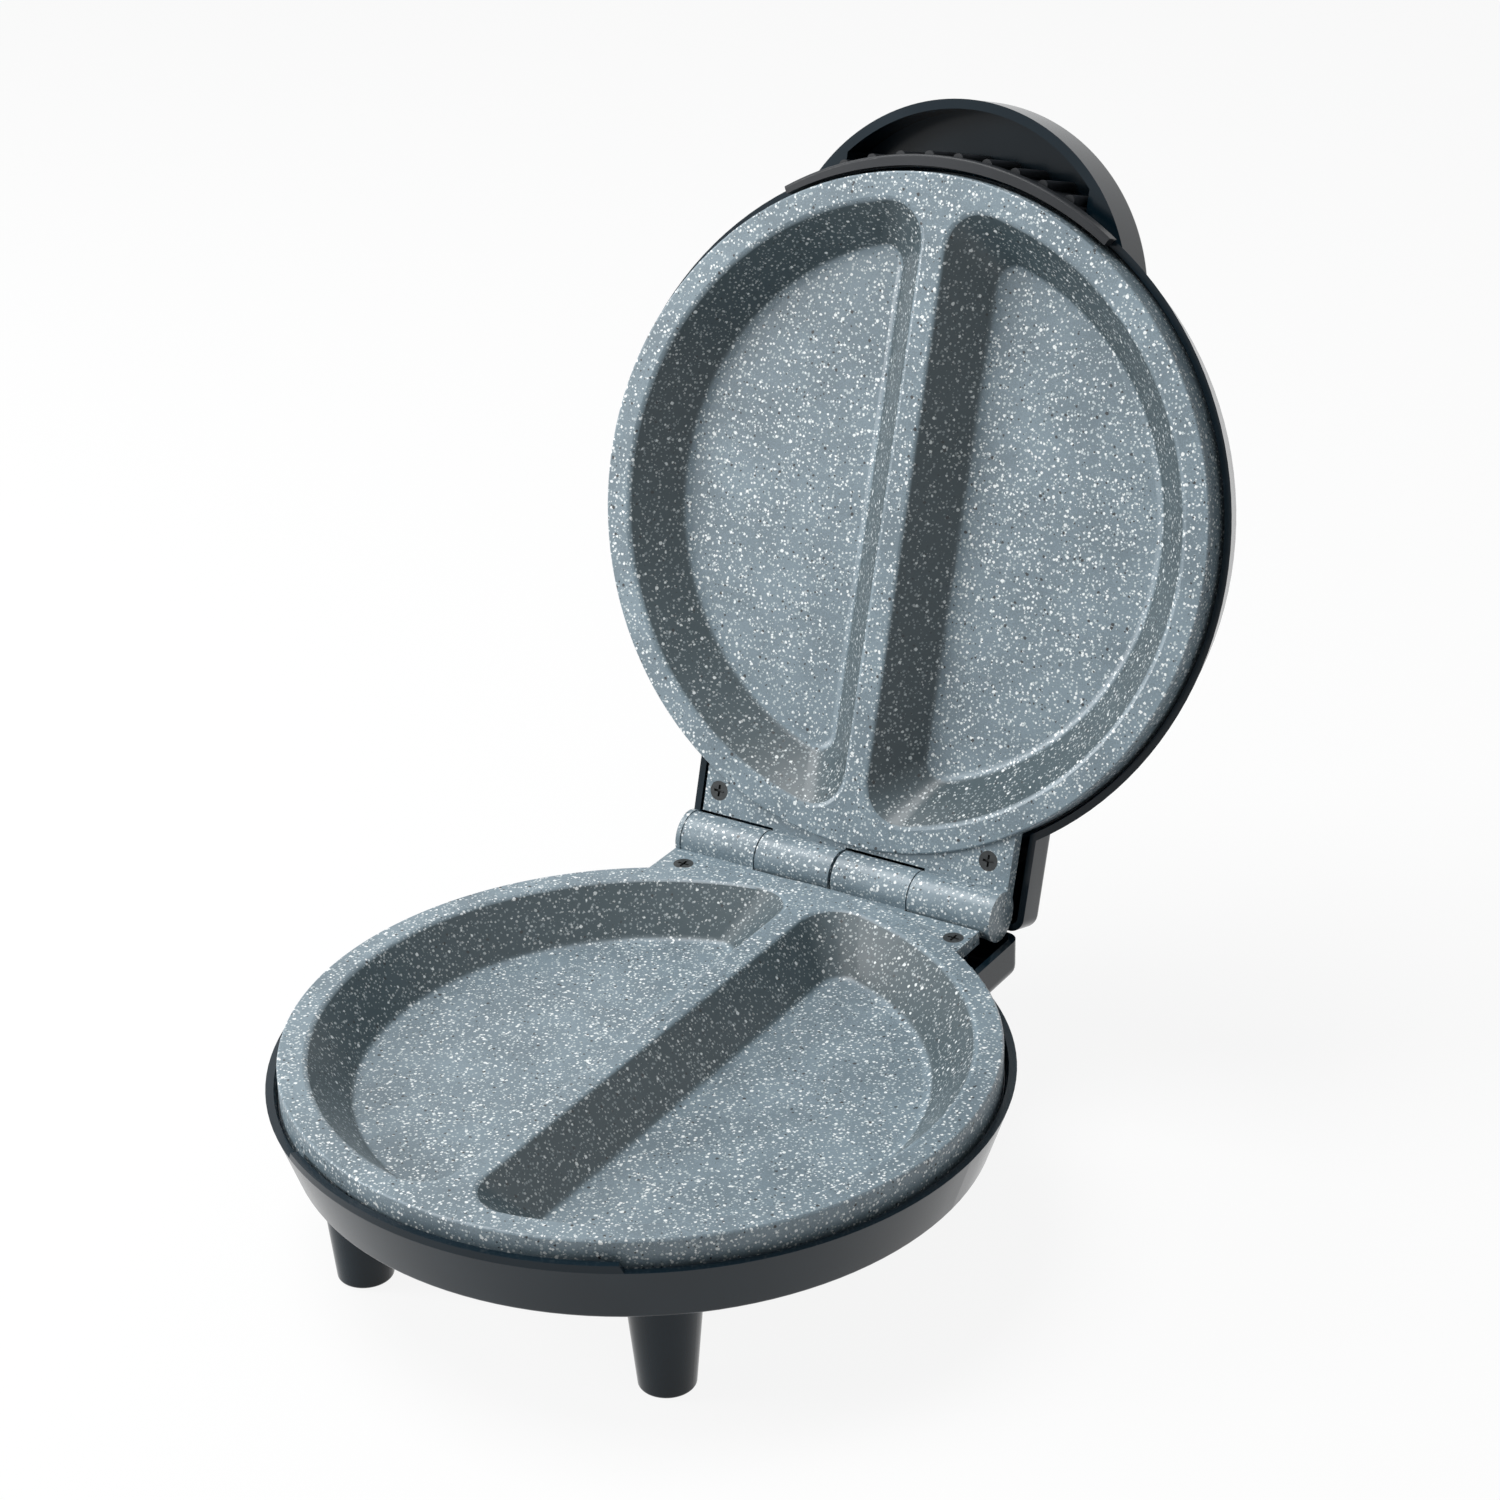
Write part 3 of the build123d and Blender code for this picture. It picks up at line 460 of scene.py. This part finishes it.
@dataclass(frozen=True)
class MouldedPlastic:
    """Black moulded plastic, from gloss to satin, with the faint waviness of a moulding."""

    colour: Colour = opaque(0.003, 0.011, 0.018)
    roughness: float = 0.17
    grain_mm: float = 0.0
    gloss: float = 0.0
    coat_roughness: float = 0.08
    specular_level: float = 0.38
    wave_per_mm: float = 0.035
    grain_per_mm: float = 3.5
    wave_mm: float = 0.012

    def build(self, name: str) -> bpy.types.Material:
        """Makes the plastic.

        Args:
            name: The material's name.

        Returns:
            The material.
        """
        graph = Graph(name)
        place = graph.millimetres()
        waves = graph.noise(place, self.wave_per_mm, 1.0)
        fine = graph.noise(place, self.grain_per_mm, 3.0)
        lighter = tuple(min(1.0, 1.5 * part + 0.004) for part in self.colour[:3]) + (1.0,)
        graph.set(Base_Color=graph.mix(waves.step(0.3, 0.7) * 0.5, self.colour, lighter),
                  Roughness=waves * 0.10 + fine * 0.05 + (self.roughness - 0.06), IOR=1.4,
                  Specular_IOR_Level=self.specular_level, Coat_Weight=self.gloss,
                  Coat_Roughness=self.coat_roughness)
        graph.bump(fine * 0.3 + waves * 0.7, max(self.wave_mm, self.grain_mm))
        return graph.material


@dataclass(frozen=True)
class MetalFinish:
    """Metal with fine brushing or a dull skin."""

    colour: Colour
    roughness: float = 0.3
    metallic: float = 1.0
    streak: float = 6.0
    streak_per_mm: float = 0.9
    spot_per_mm: float = 0.4
    bump_mm: float = 0.012

    def build(self, name: str) -> bpy.types.Material:
        """Makes the metal.

        Args:
            name: The material's name.

        Returns:
            The material.
        """
        graph = Graph(name)
        place = graph.millimetres()
        stretched = graph.vector("MULTIPLY", {0: place, 1: (1.0, self.streak, self.streak)})
        streaks = graph.noise(stretched, self.streak_per_mm, 4.0)
        spots = graph.noise(place, self.spot_per_mm, 2.0)
        darker = tuple(0.72 * part for part in self.colour[:3]) + (1.0,)
        graph.set(Base_Color=graph.mix((streaks * 0.6 + spots * 0.4).step(0.35, 0.65), darker, self.colour),
                  Roughness=streaks * 0.16 + (self.roughness - 0.08), Metallic=self.metallic)
        graph.bump(streaks, self.bump_mm)
        return graph.material


@dataclass(frozen=True)
class SoftSkin:
    """Rubber, silicone or woven sleeve: matt, with a fine pitted surface."""

    colour: Colour
    roughness: float = 0.75
    pit_per_mm: float = 2.8
    pit_mm: float = 0.04

    def build(self, name: str) -> bpy.types.Material:
        """Makes the skin.

        Args:
            name: The material's name.

        Returns:
            The material.
        """
        graph = Graph(name)
        place = graph.millimetres()
        pits = graph.noise(place, self.pit_per_mm, 3.0)
        lighter = tuple(min(1.0, 1.35 * part + 0.01) for part in self.colour[:3]) + (1.0,)
        graph.set(Base_Color=graph.mix(pits.step(0.3, 0.7), self.colour, lighter),
                  Roughness=pits * 0.12 + (self.roughness - 0.06))
        graph.bump(pits, self.pit_mm)
        return graph.material


class Finish(Enum):
    """The finishes other than the plates' coating, by the record's material slot."""

    BLACK_SHELL = ("black_shell", MouldedPlastic())
    BLACK_MATT = ("black_matt", MouldedPlastic(colour=opaque(0.016, 0.018, 0.021), roughness=0.38,
                                               grain_mm=0.03))
    BLACK_STEEL = ("black_steel", MetalFinish(opaque(0.055, 0.06, 0.062), 0.42, 0.6, 2.0))
    ZINC_STEEL = ("zinc_steel", MetalFinish(opaque(0.62, 0.63, 0.64), 0.32))
    HEATER_STEEL = ("heater_steel", MetalFinish(opaque(0.20, 0.19, 0.175), 0.5, 0.8))
    REFLECTOR_SHEET = ("reflector_sheet", MetalFinish(opaque(0.78, 0.79, 0.80), 0.22))
    CONTROL_METAL = ("control_metal", MetalFinish(opaque(0.66, 0.65, 0.62), 0.3))
    WHITE_NYLON = ("white_nylon", MouldedPlastic(opaque(0.72, 0.72, 0.69), 0.4, 0.02))
    BLUE_LEAD = ("blue_lead", SoftSkin(opaque(0.03, 0.12, 0.46), 0.6))
    BROWN_LEAD = ("brown_lead", SoftSkin(opaque(0.16, 0.06, 0.025), 0.6))
    GREEN_LEAD = ("green_lead", SoftSkin(opaque(0.10, 0.30, 0.05), 0.6))
    WHITE_LEAD = ("white_lead", SoftSkin(opaque(0.66, 0.65, 0.61), 0.8))
    RUBBER = ("rubber", SoftSkin(opaque(0.022, 0.022, 0.024)))
    RED_LENS = ("red_lens", MouldedPlastic(opaque(0.42, 0.012, 0.010), 0.12, gloss=0.6))
    GREEN_LENS = ("green_lens", MouldedPlastic(opaque(0.012, 0.26, 0.045), 0.12, gloss=0.6))
    LAMP_GLASS = ("lamp_glass", MouldedPlastic(opaque(0.70, 0.52, 0.40), 0.10, gloss=0.8))

    @property
    def slot(self) -> str:
        """The record's slot for this finish.

        Returns:
            The slot's name.
        """
        return self.value[0]

    def build(self) -> bpy.types.Material:
        """Makes the finish's material.

        Returns:
            The material.
        """
        return self.value[1].build(self.slot)


# ------------------------------------------------------------------ the two halves
@dataclass
class Plates:
    """The two cast plates: the middle and the facing of each, and their coating."""

    pocket_reach: float = 0.0885
    gap: float = 0.5 * MM

    def middles(self) -> dict[str, tuple[Vector, Vector]]:
        """Middle and facing of each plate, from the frame.

        Returns:
            For each node, the middle of its face and the way that it faces.
        """
        low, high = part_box("lower_plate")
        middle_y = low.y + (high.x - low.x) / 2
        face_z = HINGE_Z - self.gap / 2
        lower = Vector((0.0, middle_y, face_z))
        turn = Matrix.Rotation(-OPEN_ANGLE, 3, "X")
        hinge = Vector((0.0, HINGE_Y, HINGE_Z))
        upper = hinge + turn @ (lower + Vector((0.0, 0.0, self.gap)) - hinge)
        return {"lower_plate": (lower, Vector((0.0, 0.0, 1.0))),
                "upper_plate": (upper, turn @ Vector((0.0, 0.0, -1.0)))}

    def dress(self) -> None:
        """Coats both plates."""
        for node, (middle, axis) in self.middles().items():
            coating = StoneCoating().build(f"stone_coating_{node}", middle, axis, self.pocket_reach)
            dress_node(node, coating)


def dress_node(node: str, material: bpy.types.Material) -> None:
    """Gives a CAD node its finish.

    Args:
        node: The node's name.
        material: Its material.
    """
    piece = frame["nodes"][node]
    piece.data.materials.clear()
    piece.data.materials.append(material)
    log.info("dressed %s in %s", node, material.name)


@dataclass
class CarriedNodes:
    """The CAD nodes that keep their shape and take a finish."""

    def dress(self) -> None:
        """Gives each node the finish of its slot."""
        slots = {row["node"]: row["material_slot"] for row in frame["record"]["subparts"]}
        made = {finish.slot: finish.build() for finish in Finish}
        for node, slot in slots.items():
            if slot in made:
                dress_node(node, made[slot])


@dataclass
class LidShell:
    """The lid's shell, with its facets merged so that the shallow dome shades as one smooth skin."""

    merge_gap: float = 1e-6
    crease: float = math.radians(28.0)

    def build(self, material: bpy.types.Material) -> bpy.types.Object:
        """Merges a copy of the lid housing and lets it stand for the node.

        Args:
            material: Its finish.

        Returns:
            The shell.
        """
        form = bmesh.new()
        form.from_mesh(frame["nodes"]["lid_housing"].data)
        bmesh.ops.remove_doubles(form, verts=form.verts, dist=self.merge_gap)
        for face in form.faces:
            face.smooth = True
        for edge in form.edges:
            edge.smooth = edge.is_manifold and edge.calc_face_angle(math.pi) < self.crease
        skin = bpy.data.meshes.new("lid_shell")
        form.to_mesh(skin)
        form.free()
        skin.materials.clear()
        skin.materials.append(material)
        shell = bpy.data.objects.new("lid_shell", skin)
        bpy.context.scene.collection.objects.link(shell)
        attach(shell, "lid")
        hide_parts("lid_housing")
        log.info("built %s", shell.name)
        return shell


# ------------------------------------------------------------------ studio
@dataclass(frozen=True)
class Lamp:
    """One soft square lamp: where it hangs, the point it faces, its side and its power in watts."""

    name: str
    place: tuple[float, float, float]
    aim: tuple[float, float, float]
    size: float
    power: float

    def hang(self) -> None:
        """Hangs the lamp."""
        light = bpy.data.lights.new(self.name, "AREA")
        light.shape = "SQUARE"
        light.size = self.size
        light.energy = self.power
        hung = bpy.data.objects.new(self.name, light)
        bpy.context.scene.collection.objects.link(hung)
        towards = Vector(self.aim) - Vector(self.place)
        turned = towards.to_track_quat("-Z", "Y").to_matrix().to_4x4()
        hung.matrix_world = Matrix.Translation(self.place) @ turned


LAMPS = (Lamp("top_box", (-0.5, -0.1, 1.3), (0.0, 0.0, 0.08), 0.8, 15.0),
         Lamp("side_box", (-1.25, -0.85, 0.65), (0.0, 0.05, 0.13), 0.6, 16.0))


@dataclass
class Studio:
    """Floor, backdrop, lamps and the camera at the photograph's view."""

    azimuth: float = math.radians(32.388)
    elevation: float = math.radians(26.014)
    roll: float = math.radians(-1.311)
    distance: float = 1.244315
    focal_px: float = 3524.6
    frame_px: float = 1500.0
    sensor_mm: float = 36.0
    target_x: float = -0.146368
    target_from_hinge_y: float = 0.183924
    target_from_hinge_z: float = -0.074156
    floor_size: float = 12.0
    floor_colour: Colour = opaque(0.86, 0.86, 0.86)
    floor_glow: float = 0.9
    air_colour: Colour = opaque(0.95, 0.98, 1.0)
    air_strength: float = 0.2

    def camera(self) -> bpy.types.Object:
        """Sets the camera.

        Returns:
            The camera.
        """
        back = Vector((math.sin(self.azimuth) * math.cos(self.elevation),
                       -math.cos(self.azimuth) * math.cos(self.elevation), math.sin(self.elevation)))
        level = Vector((math.cos(self.azimuth), math.sin(self.azimuth), 0.0))
        upright = back.cross(level)
        right = level * math.cos(self.roll) + upright * math.sin(self.roll)
        above = upright * math.cos(self.roll) - level * math.sin(self.roll)
        target = Vector((self.target_x, HINGE_Y + self.target_from_hinge_y, HINGE_Z + self.target_from_hinge_z))
        place = target + back * self.distance
        lens = bpy.data.cameras.new("view")
        lens.sensor_width = self.sensor_mm
        lens.lens = self.sensor_mm * self.focal_px / self.frame_px
        lens.clip_start = 0.05
        lens.clip_end = 40.0
        viewer = bpy.data.objects.new("view", lens)
        bpy.context.scene.collection.objects.link(viewer)
        axes = Matrix((right, above, back)).transposed().to_4x4()
        viewer.matrix_world = Matrix.Translation(place) @ axes
        bpy.context.scene.camera = viewer
        return viewer

    def floor(self) -> None:
        """Lays the pale floor, which shows white to the camera and keeps a soft shadow."""
        bpy.ops.mesh.primitive_plane_add(size=self.floor_size, location=(0, 0, 0))
        ground = bpy.context.object
        ground.name = "floor"
        graph = Graph("floor_paint")
        graph.set(Base_Color=self.floor_colour, Roughness=0.9)
        glow = graph.node("ShaderNodeEmission", None, {"Color": opaque(1, 1, 1), "Strength": 1.0})
        rays = graph.node("ShaderNodeLightPath")
        direct = Value(graph, rays.outputs["Is Camera Ray"]) + Value(graph, rays.outputs["Is Transmission Ray"])
        seen = graph.math("MINIMUM", direct + Value(graph, rays.outputs["Is Glossy Ray"]), 1.0) * self.floor_glow
        blend = graph.node("ShaderNodeMixShader", None, {0: seen, 1: graph.shader.outputs[0], 2: glow.outputs[0]})
        graph.tree.links.new(blend.outputs[0], graph.output.inputs["Surface"])
        ground.data.materials.append(graph.material)

    def world(self) -> None:
        """Sets the even light all round, and white where the camera sees past the floor."""
        sky = bpy.data.worlds.new("studio")
        sky.use_nodes = True
        tree = sky.node_tree
        tree.nodes.clear()
        output = tree.nodes.new("ShaderNodeOutputWorld")
        dim = tree.nodes.new("ShaderNodeBackground")
        dim.inputs["Color"].default_value = self.air_colour
        dim.inputs["Strength"].default_value = self.air_strength
        white = tree.nodes.new("ShaderNodeBackground")
        white.inputs["Strength"].default_value = 1.0
        white.inputs["Color"].default_value = opaque(1, 1, 1)
        rays = tree.nodes.new("ShaderNodeLightPath")
        choose = tree.nodes.new("ShaderNodeMixShader")
        total = rays.outputs["Is Camera Ray"]
        for ray in ("Is Glossy Ray", "Is Transmission Ray"):
            adder = tree.nodes.new("ShaderNodeMath")
            adder.operation = "ADD"
            adder.use_clamp = True
            tree.links.new(total, adder.inputs[0])
            tree.links.new(rays.outputs[ray], adder.inputs[1])
            total = adder.outputs[0]
        tree.links.new(total, choose.inputs[0])
        tree.links.new(dim.outputs[0], choose.inputs[1])
        tree.links.new(white.outputs[0], choose.inputs[2])
        tree.links.new(choose.outputs[0], output.inputs["Surface"])
        bpy.context.scene.world = sky

    def build(self) -> None:
        """Sets up the whole studio."""
        scene = bpy.context.scene
        scene.view_settings.view_transform = "Standard"
        self.camera()
        self.floor()
        self.world()
        for lamp in LAMPS:
            lamp.hang()
        log.info("studio ready")


def main() -> None:
    """Dresses the frame and sets the studio."""
    logging.basicConfig(level=logging.INFO, format="%(name)s: %(message)s")
    CarriedNodes().dress()
    Plates().dress()
    LidShell().build(frame["nodes"]["lid_housing"].data.materials[0])
    Studio().build()


if __name__ == "__main__":
    main()
